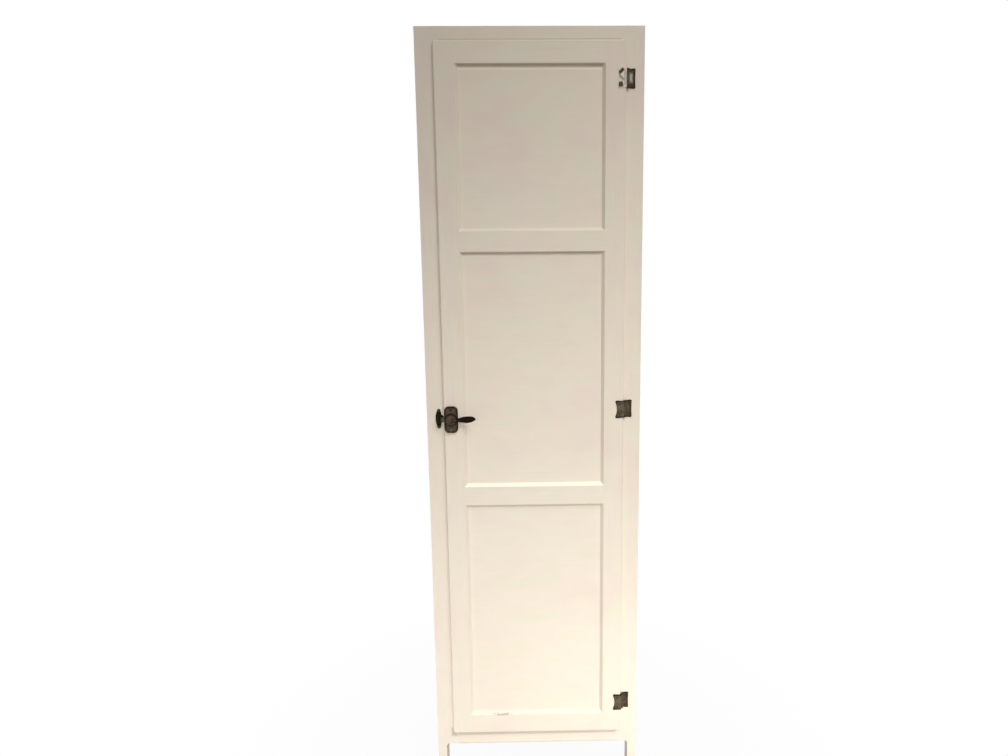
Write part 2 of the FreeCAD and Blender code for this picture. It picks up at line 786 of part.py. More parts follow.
def latch_lever():
    """A hub with a short arm into the bolt and a paddle-shaped handle."""
    hub = rod(hub_radius, latch_point(0, pivot_reach, -hub_half_height), (0, 0, 1), 2 * hub_half_height)
    arm = latch_block(-arm_thickness / 2, arm_thickness / 2, pivot_reach - arm_length, pivot_reach,
                      -hub_half_height, hub_half_height)
    tip = [e for e in arm.Edges if at(e.BoundBox.YMin, door_y - pivot_reach + arm_length)
           and at(e.BoundBox.ZLength, 2 * hub_half_height)]
    arm = arm.makeFillet(arm_thickness / 3, tip)
    lever = lever_handle().fuse(hub).fuse(arm)
    bore = rod(pivot_radius + pin_play, latch_point(0, pivot_reach, -hub_half_height), (0, 0, 1),
               2 * hub_half_height)
    return largest(lever.cut(bore).removeSplitter())


def latch_spring():
    """A bent strip that pushes the bolt outwards against the case."""
    low = latch_play
    high = latch_play + bolt_thickness - spring_thickness
    start = bolt_tail
    end = spring_pocket_end
    middle = (start + end) / 2
    t = spring_thickness
    outline = [(start, low), (start + t, low), (middle, high), (end - t, low), (end, low),
               (end, low + t), (middle, high + t), (start, low + t)]
    points = [(latch_x + u, door_y - w) for u, w in outline]
    return wedge_z(points, latch_z - spring_half_height, latch_z + spring_half_height)


def strike_plate():
    """A bowed plate on the frame with a bridge that holds the bolt's tongue."""
    near_x = -half_door - strike_gap
    far_x = near_x - strike_width
    end_z = strike_screw_spread
    right_x = strike_end_x + strike_end_radius
    left_x = strike_end_x - strike_end_radius
    tab_x = -half_door - lip_gap
    y = front_y
    top = (strike_end_x, y, latch_z + end_z + strike_end_radius)
    bottom = (strike_end_x, y, latch_z - end_z - strike_end_radius)
    flare = strike_flare
    narrow = bolt_half_height
    edges = [
        arc((left_x, y, latch_z - end_z), (far_x, y, latch_z), (left_x, y, latch_z + end_z)),
        arc((left_x, y, latch_z + end_z), top, (right_x, y, latch_z + end_z)),
        line((right_x, y, latch_z + end_z), (near_x, y, latch_z + flare)),
        line((near_x, y, latch_z + flare), (tab_x, y, latch_z + narrow)),
        line((tab_x, y, latch_z + narrow), (tab_x, y, latch_z - narrow)),
        line((tab_x, y, latch_z - narrow), (near_x, y, latch_z - flare)),
        line((near_x, y, latch_z - flare), (right_x, y, latch_z - end_z)),
        arc((right_x, y, latch_z - end_z), bottom, (left_x, y, latch_z - end_z)),
    ]
    plate = curved_slab(edges, -strike_thickness)
    bolt_front = door_y - latch_play - bolt_thickness
    gap = latch_play
    half = bolt_half_height + gap
    wall = half + keeper_wall
    keeper_near = near_x
    keeper_far = near_x - keeper_depth
    cap_front = bolt_front - gap - keeper_cap
    keeper = block(keeper_far, keeper_near, cap_front, front_y, latch_z - wall, latch_z + wall)
    rim = [e for e in keeper.Edges if at(e.BoundBox.YMin, cap_front)]
    keeper = keeper.makeChamfer(keeper_wall / 2, rim)
    slot = block(keeper_far - overrun, keeper_near + overrun, bolt_front - gap, door_y + gap,
                 latch_z - half, latch_z + half)
    return plate.fuse(keeper).cut(slot).removeSplitter()


def screws_at(places, kind):
    return Part.makeCompound([screw(place, kind) for place in places])


def bored(shape, places, kind):
    """The shape with a hole for each screw's shank."""
    shank, head, length, dome_height = kind
    for place in places:
        shape = shape.cut(rod(shank, place, (0, 1, 0), length))
    return shape


def nodes():
    """Every piece of the cabinet by node name."""
    parts = {}
    for name, front in (("front", True), ("back", False)):
        left = post(front)
        parts["post_" + name + "_left"] = left
        parts["post_" + name + "_right"] = mirrored(left)
    for name, piece in side_frame().items():
        parts[name + "_left"] = piece
        parts[name + "_right"] = mirrored(piece)
    parts.update(back_frame())
    parts["top_board"] = top_board()
    parts["bottom_board"] = bottom_board()
    stile = face_stile()
    parts["face_stile_left"] = bored(stile, strike_places, strike_screw)
    parts["face_stile_right"] = bored(mirrored(stile), hinge_frame_places, hinge_frame_screw)
    parts["face_rail_top"] = face_rail(opening_top, frame_top)
    parts["face_rail_bottom"] = face_rail(board_top, opening_bottom)
    for index in range(shelf_count):
        parts["shelf_" + str(index + 1)] = shelf(index)
    left_cleats = cleats()
    parts["shelf_cleats_left"] = left_cleats
    parts["shelf_cleats_right"] = mirrored(left_cleats)
    parts.update(door_parts())
    parts["door_stile_left"] = bored(parts["door_stile_left"], latch_places, latch_screw)
    parts["door_stile_right"] = bored(parts["door_stile_right"], hinge_door_places, hinge_door_screw)
    for name, z in hinge_levels.items():
        parts["hinge_door_leaf_" + name] = bored(hinge_door_leaf_at(z), hinge_door_places,
                                                 hinge_door_screw)
        parts["hinge_frame_leaf_" + name] = bored(hinge_frame_leaf_at(z), hinge_frame_places,
                                                  hinge_frame_screw)
        parts["hinge_pin_" + name] = hinge_pin_at(z)
    parts["hinge_door_screws"] = screws_at(hinge_door_places, hinge_door_screw)
    parts["hinge_frame_screws"] = screws_at(hinge_frame_places, hinge_frame_screw)
    parts["latch_case"] = bored(latch_case(), latch_places, latch_screw)
    parts["latch_screws"] = screws_at(latch_places, latch_screw)
    parts["latch_pivot_pin"] = latch_pivot_pin()
    parts["latch_spring"] = latch_spring()
    parts["latch_bolt"] = latch_bolt()
    parts["latch_lever"] = latch_lever()
    parts["strike_plate"] = bored(strike_plate(), strike_places, strike_screw)
    parts["strike_screws"] = screws_at(strike_places, strike_screw)
    return parts


def main():
    os.makedirs("parts", exist_ok=True)
    for name, shape in nodes().items():
        if not shape.isValid() or not shape.Solids:
            raise ValueError(name + " is not a sound solid")
        shape.exportStep("parts/" + name + ".step")
        box = shape.BoundBox
        print(name, len(shape.Solids), round(shape.Volume / 1000, 2),
              [round(v, 1) for v in (box.XMin, box.XMax, box.YMin, box.YMax, box.ZMin, box.ZMax)])


if __name__ == "__main__":
    main()
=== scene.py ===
import math
from typing import NamedTuple

import bmesh
import bpy
from bpy.props import FloatProperty, FloatVectorProperty, PointerProperty
from mathutils import Matrix, Vector


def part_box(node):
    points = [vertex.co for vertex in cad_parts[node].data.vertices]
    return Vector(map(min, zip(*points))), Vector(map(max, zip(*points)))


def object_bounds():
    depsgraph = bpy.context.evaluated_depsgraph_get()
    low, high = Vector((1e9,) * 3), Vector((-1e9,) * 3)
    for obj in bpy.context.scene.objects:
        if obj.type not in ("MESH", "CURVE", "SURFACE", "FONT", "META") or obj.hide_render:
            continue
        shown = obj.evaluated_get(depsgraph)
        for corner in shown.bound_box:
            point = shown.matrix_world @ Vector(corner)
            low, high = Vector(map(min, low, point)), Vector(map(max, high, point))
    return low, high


bl_info = {
    "name": "Utility cabinet",
    "version": (1, 0, 0),
    "blender": (4, 5, 0),
    "location": "3D View > Sidebar > Cabinet",
    "description": "Paints, dresses and lights a tall one-door utility cabinet",
    "category": "Object",
}

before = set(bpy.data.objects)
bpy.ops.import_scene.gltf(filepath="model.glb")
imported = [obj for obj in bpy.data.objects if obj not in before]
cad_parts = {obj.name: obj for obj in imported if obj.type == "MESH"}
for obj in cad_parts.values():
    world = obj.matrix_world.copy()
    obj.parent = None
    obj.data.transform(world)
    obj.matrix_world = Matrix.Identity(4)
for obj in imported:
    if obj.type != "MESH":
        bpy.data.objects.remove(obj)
cad_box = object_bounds()


def srgb(red, green, blue):
    """A colour given in display values from 0 to 255, as the linear values that shaders take."""
    linear = []
    for value in (red / 255, green / 255, blue / 255):
        linear.append(value / 12.92 if value <= 0.04045 else ((value + 0.055) / 1.055) ** 2.4)
    return tuple(linear)


def tinted(colour, tint):
    """A colour whose values are multiplied by those of a tint."""
    return tuple(value * share for value, share in zip(colour, tint))


# Pieces

DOOR_PANELS = ("door_panel_upper", "door_panel_middle", "door_panel_lower")
DOOR_RAILS = ("door_rail_top", "door_rail_upper", "door_rail_lower", "door_rail_bottom")
DOOR_STILES = ("door_stile_left", "door_stile_right")
HINGES = ("top", "middle", "bottom")


# Sizes of the cabinet, in metres, and places read from the frame

PANEL_LAP = 0.007  # what the grooves hide of a panel's edge
BEVEL_WIDTH = 0.0065  # on the stiles and rails round a door panel
BOSS_RADIUS = 0.0113  # of the round boss on the latch case

door_low, door_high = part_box("door_stile_left")[0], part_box("door_stile_right")[1]
case_low, case_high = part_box("latch_case")
case_middle = (case_low.x + case_high.x) / 2, (case_low.z + case_high.z) / 2
floor_z = cad_box[0][2]


# Kinds of mark on the paint and the plating

class Mark(NamedTuple):
    """A box that marks the paint, whatever lies along the axes that it doesn't name. Past the box the
    mark fades out over its reach."""

    low: Vector
    high: Vector
    axes: str
    reach: float
    strength: float


class Chip(NamedTuple):
    """A place where the paint is off the wood, with half its size each way."""

    middle: tuple
    half: tuple
    ragged: float
    strength: float


class Fleck(NamedTuple):
    """A place on the front of a hinge that paint covers or has come off, with half its size each way."""

    place: tuple
    half: tuple
    strength: float
    blur: float = 0.25
    tilt: float = 0.0


def on_front(left, bottom, right, top):
    """A box over the front half of the cabinet, for marks on the face frame alone."""
    return Vector((left, cad_box[0][1], bottom)), Vector((right, 0, top))


# Marks: sizes in metres and strengths from 0 to 1

# Painted shade: dark lines in the down-facing bevels over the door panels, from the upper panel down
LINE_STRENGTHS = (0.70, 0.55, 0.05)
LINE_REACH = 0.0030
LINE_HALF = 0.0004
LINE_UP_BEVEL = 0.55 * BEVEL_WIDTH
LINE_SET_BACK = 0.0008

# Painted light: pale strips along the tops of the door panels, under those lines, that thin the shadow
# under the rails
STRIP_STRENGTHS = (1.0, 0.6, 0.15)
STRIP_DEPTH = 0.003
STRIP_REACH = 0.0035

# Painted highlight on the ledge under the middle door panel, and the chip in the one under the lower panel
LEDGE_REACH = 0.001
LEDGE_STRENGTH = 0.9
CHIP_X = -0.079
CHIP_UP = 0.0006
CHIP_HALF = (0.017, 0.008, 0.0020)
CHIP_RAGGED = 3.0
CHIP_STRENGTH = 0.45

# How far the painted light and painted shade on the face frame go past the door's edges, and in behind the
# door
BESIDE_DOOR = 0.0012
ABOVE_DOOR = 0.0040
BELOW_DOOR = 0.0100
CORNER_BESIDE = 0.002
UNDER_DOOR = 0.004

# Height of the painted shade along the foot of the bottom board
SILL_HEIGHT = 0.0010

# Dirt and painted shade round the side and back panels
CREASE_REACH = 0.003
CREASE_STRENGTH = 0.4

# Scuffs on the feet: how high above the floor they start, and below which they are full
SCUFF_TOP = 0.10
SCUFF_FULL = 0.004

# Old paint on the top hinge: places are across and up from the middle of its knuckle
LEAF_PAINT_END = -0.0035
LEAF_PAINT_HALF = 0.03
LEAF_PAINT_BLUR = 0.04
FRAME_PAINT = Fleck((0.0060, 0.0012), (0.0028, 0.0072), 0.55, blur=0.8)
HINGE_CHIPS = (
    Fleck((-0.0153, 0.0112), (0.0078, 0.0031), 1.0, tilt=0.75),
    Fleck((-0.0152, -0.0126), (0.0046, 0.0052), 1.0, tilt=0.15),
    Fleck((-0.0148, 0.0008), (0.0080, 0.0026), 0.65, tilt=-0.78),
    Fleck((-0.0058, -0.0010), (0.0034, 0.0150), 0.40),
)

# Dark edges of the hinges, and painted shade along the latch case's outline and in the crease round its
# boss
HINGE_RIM_REACH = 0.0066
CASE_RIM_REACH = 0.0085
BOSS_CREASE = 0.0012
BOSS_CREASE_REACH = 0.0036
BOSS_CREASE_STRENGTH = 0.95
PAST_BOSS = 0.002

# The lever gets dark between these two distances past the case's right edge
LEVER_FADE = (-0.006, 0.001)

# Painted highlight on the latch's lower screw: the upper screw is painted darker, and the darkening ends
# this far below the middle of the boss
SCREW_FADE = 0.01
UPPER_SCREW_SHADE = 0.85


# Tints in the enamel and in the floor, as shares of their colours
WARM_TINT = (1.0, 0.985, 0.95)
ROSY_TINT = (1.0, 0.955, 0.97)
GREEN_TINT = (0.965, 0.995, 0.96)
STREAK_TINT = (0.90, 0.90, 0.90)
FLOOR_TINT = (0.97, 0.97, 0.97)


# Lamps and floor: where each lamp stands and what it is turned to, in metres, and its cone in degrees

SPOTS = {
    "key": {"place": (0.92, -2.19, 3.37), "target": (0.16, door_low.y, 0.64),
            "cone": 46.5, "radius": 0.80},
    "low_fill": {"place": (0.00, -3.50, 1.35), "target": (0.13, -2.00, 0.03),
                 "cone": 83.8, "radius": 0.60},
    "side_glow": {"place": (0.80, -0.72, 0.15), "target": (0.34, door_low.y, 0.22),
                  "cone": 50, "radius": 0.15},
}
REAR_PLACE = (2.1, 2.1, 1.6)
REAR_TARGET = (0, 0, 0.8)
REAR_SIZE = 1.4
FLOOR_SIZE = 8

# How white the floor looks by the cabinet, and how far away that starts and ends to turn to full white
FLOOR_WHITE = 0.95
FLOOR_FADE = (0.25, 1.0)


# Settings

class CabinetPaint(bpy.types.PropertyGroup):
    """Colours and wear of the paint."""

    outside: FloatVectorProperty(
        name="Outside", description="Satin cream enamel on the outside and the door",
        subtype="COLOR", size=3, min=0, max=1, default=srgb(237, 225, 208))
    inside: FloatVectorProperty(
        name="Inside", description="Older paint on the shelves and inside faces",
        subtype="COLOR", size=3, min=0, max=1, default=srgb(229, 217, 192))
    # Painted light: a pale colour laid on the ledge under the middle panel, along the panel tops and beside
    # the door
    wiped: FloatVectorProperty(
        name="Wiped", description="Paler enamel on the ledges and edges that get dusted",
        subtype="COLOR", size=3, min=0, max=1, default=srgb(253, 245, 224))
    undercoat: FloatVectorProperty(
        name="Undercoat", description="Yellowed coat that shows where the enamel is thin",
        subtype="COLOR", size=3, min=0, max=1, default=srgb(203, 184, 148))
    wood: FloatVectorProperty(
        name="Bare wood", description="Old wood in the chips",
        subtype="COLOR", size=3, min=0, max=1, default=srgb(120, 92, 62))
    # Dirt colour, also used as painted shade in the creases, in the door bevels and round the door
    grime: FloatVectorProperty(
        name="Grime", description="Dirt that gathers in the creases",
        subtype="COLOR", size=3, min=0, max=1, default=srgb(142, 124, 102))
    wear: FloatProperty(
        name="Wear", description="How much of the edges is rubbed thin or chipped",
        subtype="FACTOR", min=0, max=1, default=0.5)
    brush_relief: FloatProperty(
        name="Brush relief", description="Height of the brush marks in the paint",
        subtype="DISTANCE", unit="LENGTH", min=0, max=0.001, default=0.00009, precision=5)


class CabinetMetal(bpy.types.PropertyGroup):
    """Colours of the hinges, latch and screws."""

    bronze: FloatVectorProperty(
        name="Bronze", description="Dark brown plating of the hinges and latch",
        subtype="COLOR", size=3, min=0, max=1, default=srgb(92, 80, 62))
    worn: FloatVectorProperty(
        name="Worn plating", description="Paler olive brown that the flats of the hinges have faded to",
        subtype="COLOR", size=3, min=0, max=1, default=srgb(107, 95, 76))
    patina: FloatVectorProperty(
        name="Patina", description="Nearly black film in the hollows of the plating",
        subtype="COLOR", size=3, min=0, max=1, default=srgb(27, 20, 7))
    rubbed: FloatVectorProperty(
        name="Rubbed edges", description="Warm metal where hands and use have rubbed the plating",
        subtype="COLOR", size=3, min=0, max=1, default=srgb(158, 128, 96))
    steel: FloatVectorProperty(
        name="Steel", description="Pins, spring and screws",
        subtype="COLOR", size=3, min=0, max=1, default=srgb(128, 122, 114))
    rust: FloatVectorProperty(
        name="Rust", description="Light rust on the steel",
        subtype="COLOR", size=3, min=0, max=1, default=srgb(104, 66, 40))


class CabinetStage(bpy.types.PropertyGroup):
    """Floor, light and camera."""

    floor: FloatVectorProperty(
        name="Floor", description="Pale floor",
        subtype="COLOR", size=3, min=0, max=1, default=srgb(190, 189, 187))
    sky: FloatProperty(
        name="Sky", description="Strength of the even light from all round",
        min=0, max=2, default=0.271)
    key: FloatProperty(
        name="Key", description="Power of the soft spot lamp above on the right",
        subtype="POWER", unit="POWER", min=0, max=2000, default=290)
    low_fill: FloatProperty(
        name="Low fill", description="Power of the wide spot lamp low in front",
        subtype="POWER", unit="POWER", min=0, max=2000, default=405)
    side_glow: FloatProperty(
        name="Side glow", description="Power of the small lamp by the foot of the right side",
        subtype="POWER", unit="POWER", min=0, max=500, default=7)
    rear: FloatProperty(
        name="Rear", description="Power of each of the two soft lamps behind",
        subtype="POWER", unit="POWER", min=0, max=1000, default=50)
    lens: FloatProperty(
        name="Lens", description="Focal length of the camera on a 36 mm sensor, in millimetres",
        min=10, max=100, default=25.714)
    distance: FloatProperty(
        name="Distance", description="From the camera to the plane of the door's front",
        subtype="DISTANCE", unit="LENGTH", min=0.5, max=10, default=1.502)
    drop: FloatProperty(
        name="Drop", description="Height of the camera below the top of the door",
        subtype="DISTANCE", unit="LENGTH", min=-3, max=3, default=0.426)
    aside: FloatProperty(
        name="Aside", description="How far the camera stands to the right of the middle",
        subtype="DISTANCE", unit="LENGTH", min=-1, max=1, default=0.001)
    pitch: FloatProperty(
        name="Pitch", description="Downward tilt of the camera",
        subtype="ANGLE", unit="ROTATION", min=-1, max=1, default=0.1634)
    yaw: FloatProperty(
        name="Yaw", description="Turn of the camera to the right",
        subtype="ANGLE", unit="ROTATION", min=-1, max=1, default=0.017)
    roll: FloatProperty(
        name="Roll", description="Lean of the camera",
        subtype="ANGLE", unit="ROTATION", min=-1, max=1, default=0.0078)
    shift: FloatProperty(
        name="Shift", description="Sideways shift of the picture as a share of its width",
        min=-0.5, max=0.5, default=-0.0415)


# Shader maths

class Wire:
    """An output of a shader node. Expressions on it add the Math nodes that work them out."""

    def __init__(self, nodes, socket):
        self.nodes = nodes
        self.socket = socket

    def other(self, name):
        """Another output of the same node."""
        return Wire(self.nodes, self.socket.node.outputs[name])

    def __add__(self, other):
        return self.nodes.maths("ADD", self, other)

    def __radd__(self, other):
        return self.nodes.maths("ADD", other, self)

    def __sub__(self, other):
        return self.nodes.maths("SUBTRACT", self, other)

    def __rsub__(self, other):
        return self.nodes.maths("SUBTRACT", other, self)

    def __mul__(self, other):
        return self.nodes.maths("MULTIPLY", self, other)

    def __rmul__(self, other):
        return self.nodes.maths("MULTIPLY", other, self)

    def __truediv__(self, other):
        return self.nodes.maths("DIVIDE", self, other)

    def __abs__(self):
        return self.nodes.maths("ABSOLUTE", self)


class Nodes:
    """The node tree of a material or of the sky, being filled."""

    def __init__(self, owner):
        owner.use_nodes = True
        self.tree = owner.node_tree
        self.tree.nodes.clear()

    def node(self, kind, settings=None, sockets=None):
        """Any shader node: its settings first, then values or links for its sockets."""
        made = self.tree.nodes.new(kind)
        for key, value in (settings or {}).items():
            setattr(made, key, value)
        for name, value in (sockets or {}).items():
            if isinstance(name, str):
                entry = next(s for s in made.inputs if s.name == name and s.enabled)
            else:
                entry = made.inputs[name]
            if isinstance(value, Wire):
                self.tree.links.new(value.socket, entry)
            elif entry.type == "RGBA":
                entry.default_value = (*value, 1)
            else:
                entry.default_value = value
        outputs = [s for s in made.outputs if s.enabled]
        return Wire(self, outputs[0]) if outputs else None

    def maths(self, operation, a, b=0.0):
        """A Math node."""
        return self.node("ShaderNodeMath", {"operation": operation}, {0: a, 1: b})

    def smaller(self, a, b):
        """The smaller of two values."""
        return self.maths("MINIMUM", a, b)

    def larger(self, a, b):
        """The larger of two values."""
        return self.maths("MAXIMUM", a, b)

    def rise(self, value, start, end):
        """0 below start and 1 above end, or the other way round where end is lower."""
        if start > end:
            return 1 - self.rise(value, end, start)
        return self.node("ShaderNodeMapRange", {"interpolation_type": "SMOOTHSTEP"},
                         {"Value": value, "From Min": start, "From Max": end})

    def blend(self, low, high, share):
        """One colour turning into another."""
        return self.node("ShaderNodeMix", {"data_type": "RGBA"}, {"Factor": share, "A": low, "B": high})


class Finish(Nodes):
    """A material being made up. x, y and z are where a point lies on the cabinet."""

    def __init__(self, name):
        self.material = bpy.data.materials.new(name)
        super().__init__(self.material)
        self.spot = self.node("ShaderNodeTexCoord").other("Object")
        split = self.node("ShaderNodeSeparateXYZ", {}, {"Vector": self.spot})
        self.x, self.y, self.z = split, split.other("Y"), split.other("Z")

    def stretched(self, along, ratio, shift=0.0):
        """Coordinates drawn out along one axis, for strokes and grain."""
        scale = [1.0, 1.0, 1.0]
        scale["XYZ".index(along)] = ratio
        return self.node("ShaderNodeMapping", {},
                         {"Vector": self.spot, "Location": (shift, shift, shift), "Scale": scale})

    def noise(self, size, detail=2.0, roughness=0.5, at=None, distortion=0.0):
        """Cloudy noise whose features are about size metres across."""
        return self.node("ShaderNodeTexNoise", {},
                         {"Vector": at or self.spot, "Scale": 1 / size, "Detail": detail,
                          "Roughness": roughness, "Distortion": distortion})

    def edge(self, radius):
        """1 along the edges of a piece and 0 on its flats."""
        rounded = self.node("ShaderNodeBevel", {"samples": 4}, {"Radius": radius})
        flat = self.node("ShaderNodeNewGeometry").other("Normal")
        turned = self.node("ShaderNodeVectorMath", {"operation": "DOT_PRODUCT"}, {0: rounded, 1: flat})
        return self.rise(1 - turned.other("Value"), 0.02, 0.25)

    def past_box(self, low, high, axes="XZ"):
        """Distance outside a box seen along the remaining axis, negative inside it."""
        past = None
        for axis in axes:
            index = "XYZ".index(axis)
            middle, half = (low[index] + high[index]) / 2, (high[index] - low[index]) / 2
            side = abs((self.x, self.y, self.z)[index] - middle) - half
            past = side if past is None else self.larger(past, side)
        return past

    def away_from(self, place, half, tilt=0.0):
        """Distance from a spot on the front, 1 on the edge of a box of half sizes turned by tilt."""
        across, up = self.x - place[0], self.z - place[1]
        along = across * math.cos(tilt) + up * math.sin(tilt)
        over = up * math.cos(tilt) - across * math.sin(tilt)
        return self.larger(abs(along) / half[0], abs(over) / half[1])

    def rim(self, boxes, reach):
        """1 on the outline of the nearest of some boxes, seen from the front, and 0 deeper than reach."""
        depth = None
        for low, high in boxes:
            past = self.past_box(low, high)
            depth = past if depth is None else self.smaller(depth, past)
        return self.rise(depth, -reach, 0.0)

    def fleck(self, fleck, ragged):
        """The fleck's strength inside it and 0 outside, with a torn edge."""
        away = self.away_from(fleck.place, fleck.half, fleck.tilt) + ragged
        return self.rise(away, 1 + fleck.blur, 1 - fleck.blur) * fleck.strength

    def round_from(self, place):
        """Distance from a spot on the front, in metres."""
        across, up = self.x - place[0], self.z - place[1]
        return self.maths("SQRT", across * across + up * up)

    def surface(self, colour, roughness, height, metallic=0.0, gleam=0.5):
        """Ends the material with one principled shader. height is in metres."""
        bumped = self.node("ShaderNodeBump", {}, {"Height": height, "Distance": 1.0, "Strength": 1.0})
        shader = self.node("ShaderNodeBsdfPrincipled", {}, {
            "Base Color": colour, "Roughness": roughness, "Metallic": metallic,
            "Specular IOR Level": gleam, "Normal": bumped})
        self.node("ShaderNodeOutputMaterial", {}, {"Surface": shader})
        return self.material


def give(material, *names):
    """Puts a material in every slot of CAD nodes."""
    for name in names:
        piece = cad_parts[name]
        for slot in piece.material_slots:
            slot.material = material


# Finishes

class Enamel(Finish):
    """Brushed enamel on wood, with its strokes along the grain."""

    def __init__(self, name, grain, settings, colour, strokes_share):
        super().__init__(name)
        self.settings = settings
        self.colour = colour
        self.strokes_share = strokes_share
        self.strokes = self.noise(0.0035, detail=3, roughness=0.6, at=self.stretched(grain, 0.035))
        self.long_strokes = self.noise(0.012, at=self.stretched(grain, 0.04, shift=0.37))
        self.figure = self.noise(0.006, detail=4, roughness=0.55, distortion=0.3,
                                 at=self.stretched(grain, 0.02, shift=0.71))
        self.stipple = self.noise(0.0014, detail=1)
        self.cloud = self.noise(0.45, detail=3, roughness=0.55)
        self.patch = self.noise(0.13, at=self.stretched(grain, 0.6, shift=0.2))
        self.blotch = self.noise(0.045, at=self.stretched(grain, 0.55, shift=0.9))
        self.breakup = self.noise(0.028, detail=3, roughness=0.65)
        self.crumbs = self.noise(0.006, roughness=0.6)

    def tone(self):
        """The enamel's colour, with its tints and the streaks that the brush left."""
        tone = self.blend(self.colour, tinted(self.colour, WARM_TINT), self.rise(self.cloud, 0.42, 0.62))
        tone = self.blend(tone, tinted(self.colour, ROSY_TINT), self.rise(self.patch, 0.46, 0.66))
        tone = self.blend(tone, tinted(self.colour, GREEN_TINT), self.rise(self.blotch, 0.48, 0.66))
        streaks = self.rise(self.strokes, 0.45, 0.75) * 0.26 + self.rise(self.figure, 0.5, 0.8) * 0.2
        dim = streaks * self.strokes_share + self.rise(self.blotch, 0.55, 0.35) * 0.20
        return self.blend(tone, tinted(self.colour, STREAK_TINT), dim)

    def on_mark(self, mark):
        """1 all over a mark, and 0 further past it than its reach."""
        return self.rise(self.past_box(mark.low, mark.high, mark.axes), mark.reach, 0.0)

    def round_mark(self, mark):
        """1 along the outline of a mark, and 0 further from it than its reach, inside and outside."""
        return self.rise(abs(self.past_box(mark.low, mark.high, mark.axes)), mark.reach, 0.0)

    def dirt(self, creases, lines, scuffed):
        """How much dirt and painted shade the paint has: faint dirt patches, dirt and painted shade along
        the outlines of creases, painted shade all over lines, and scuffs on the feet.
        """
        dirt = self.rise(self.patch, 0.55, 0.9) * 0.06
        for mark in creases:
            dirt = self.larger(dirt, self.round_mark(mark) * (0.5 + 0.5 * self.breakup) * mark.strength)
        for mark in lines:
            dirt = self.larger(dirt, self.on_mark(mark) * (0.75 + 0.25 * self.breakup) * mark.strength)
        if scuffed:
            uneven_z = self.z + (self.breakup - 0.5) * 0.08
            foot = self.rise(uneven_z, floor_z + SCUFF_TOP, floor_z + SCUFF_FULL)
            dirt = self.larger(dirt, foot * (0.25 + 0.75 * self.crumbs) * 0.6)
        return dirt

    def wear(self, chips):
        """Where the enamel is rubbed thin along the edges, and where it is off the wood."""
        edge = self.edge(0.0022)
        amount = self.settings.wear
        rubbed = self.breakup + (self.crumbs - 0.5) * 0.5
        knocked = self.breakup * 0.6 + self.crumbs * 0.55
        thin = edge * self.rise(rubbed, 0.72 - 0.3 * amount, 0.86 - 0.2 * amount)
        bare = edge * self.rise(knocked, 0.86 - 0.2 * amount, 0.90 - 0.2 * amount)
        for chip in chips:
            offsets = [abs(axis - middle) / half for axis, middle, half in
                       zip((self.x, self.y, self.z), chip.middle, chip.half)]
            away = self.larger(self.larger(offsets[0], offsets[1]), offsets[2])
            torn = away + (self.crumbs - 0.5) * chip.ragged
            bare = self.larger(bare, self.rise(torn, 1.2, 0.6) * chip.strength)
        return thin, bare

    def relief(self, thin, bare):
        """Height of the brush marks, less what is worn off, in metres."""
        relief = self.settings.brush_relief * self.strokes_share
        return (self.strokes * relief + self.long_strokes * (relief * 1.5) + self.figure * (relief * 1.2)
                + self.stipple * (relief * 0.25) - bare * 0.00025 - thin * 0.00008)


def paint(name, grain, settings, colour, creases=(), lines=(), chips=(), wiped=(), scuffed=False,
          strokes_share=1.0):
    """Enamel with its marks. creases, lines and the pale marks are Marks: dirt and painted shade follow
    the outline of creases, painted shade fills lines, and the pale marks are painted paler as light. chips
    are Chips."""
    coat = Enamel(name, grain, settings, colour, strokes_share)
    dirt = coat.dirt(creases, lines, scuffed)
    thin, bare = coat.wear(chips)
    # Dirt and painted shade darken the paint towards the grime colour
    tone = coat.blend(coat.tone(), settings.grime, dirt)
    # Painted light: the paint turns to the pale colour on these marks
    for mark in wiped:
        tone = coat.blend(tone, settings.wiped, coat.on_mark(mark) * mark.strength)
    tone = coat.blend(tone, settings.undercoat, thin * 0.55)
    tone = coat.blend(tone, settings.wood, bare)
    gloss = 0.36 + coat.stipple * 0.10 + coat.strokes * 0.08 + dirt * 0.35 + bare * 0.4
    return coat.surface(tone, gloss, coat.relief(thin, bare), gleam=0.45)


